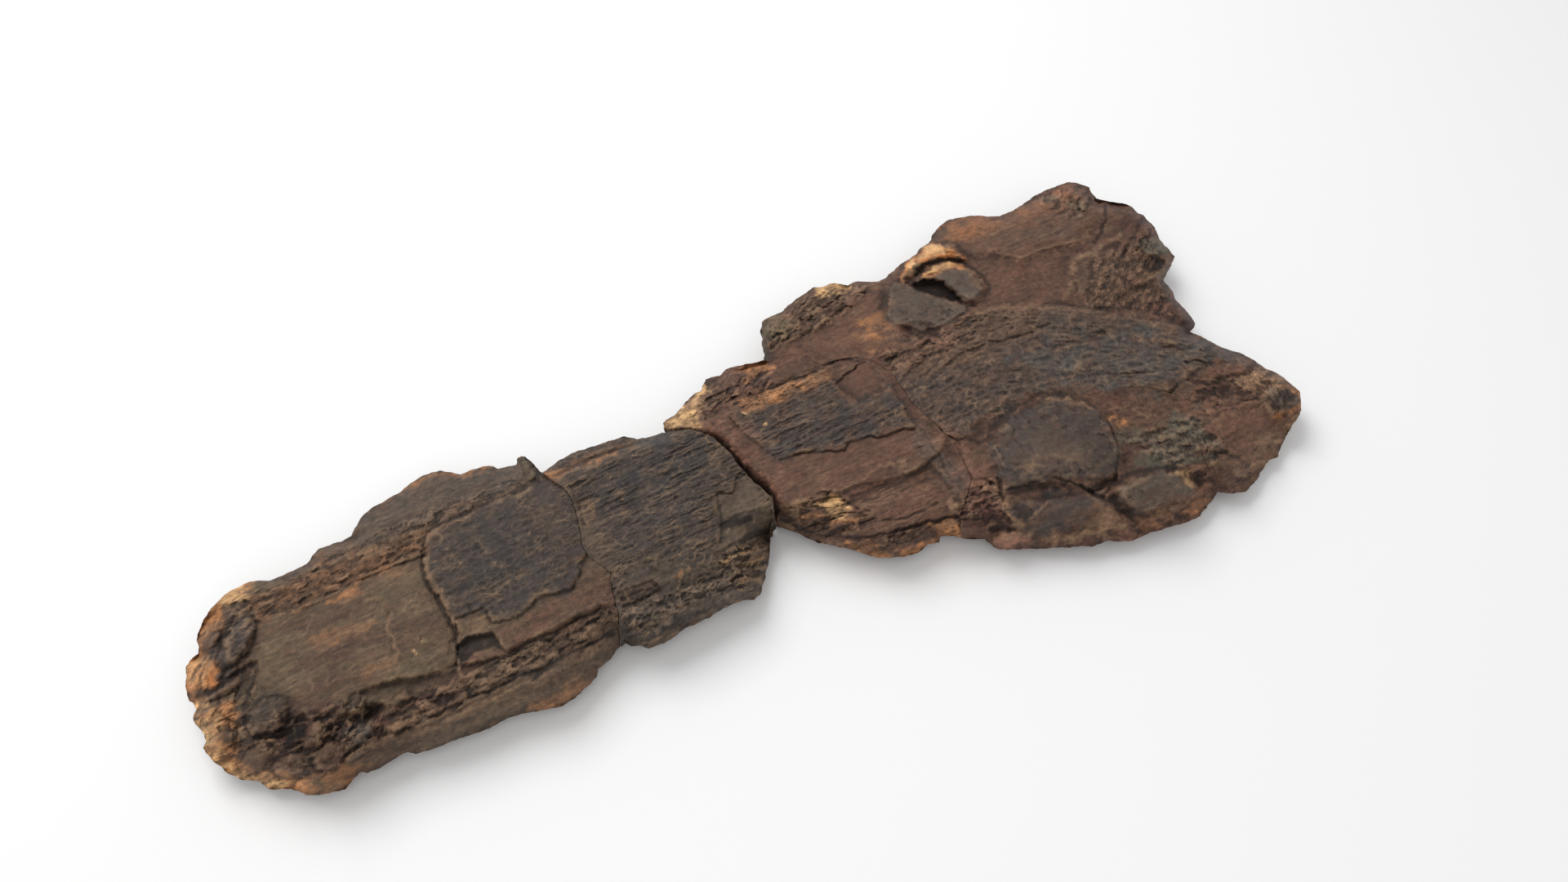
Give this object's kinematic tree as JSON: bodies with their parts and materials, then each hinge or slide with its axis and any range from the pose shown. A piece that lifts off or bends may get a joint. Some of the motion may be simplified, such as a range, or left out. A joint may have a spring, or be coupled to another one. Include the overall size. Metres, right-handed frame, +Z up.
{
  "type": "fossil archegosaurus specimen",
  "caption": "Long-snouted fossil amphibian skull, roof side up on a thin ironstone slab, broken across and mended; lies flat on its underside.",
  "frame": {"origin": "centre of the slab's bounding box, on the surface that it rests on", "axes": "+X from the snout towards the back of the skull, +Y towards the side with the open eye socket, +Z up out of the skull roof"},
  "size_m": [0.2834, 0.1162, 0.0173],
  "materials": {
    "snout_tip_rock": "dull brown ironstone with grey-brown bone and ochre broken edges",
    "snout_middle_rock": "dull dark grey-brown bone, finely ridged, with tan chipped rock",
    "face_rock": "dull red-brown ironstone with dark ridged bone and orange chips",
    "skull_back_rock": "dull dark brown bone over red-brown ironstone, ochre rims"
  },
  "bodies": {
    "root": {"snout_tip": "snout_tip_rock", "snout_middle": "snout_middle_rock", "face": "face_rock", "skull_back": "skull_back_rock"}
  },
  "joints": []
}
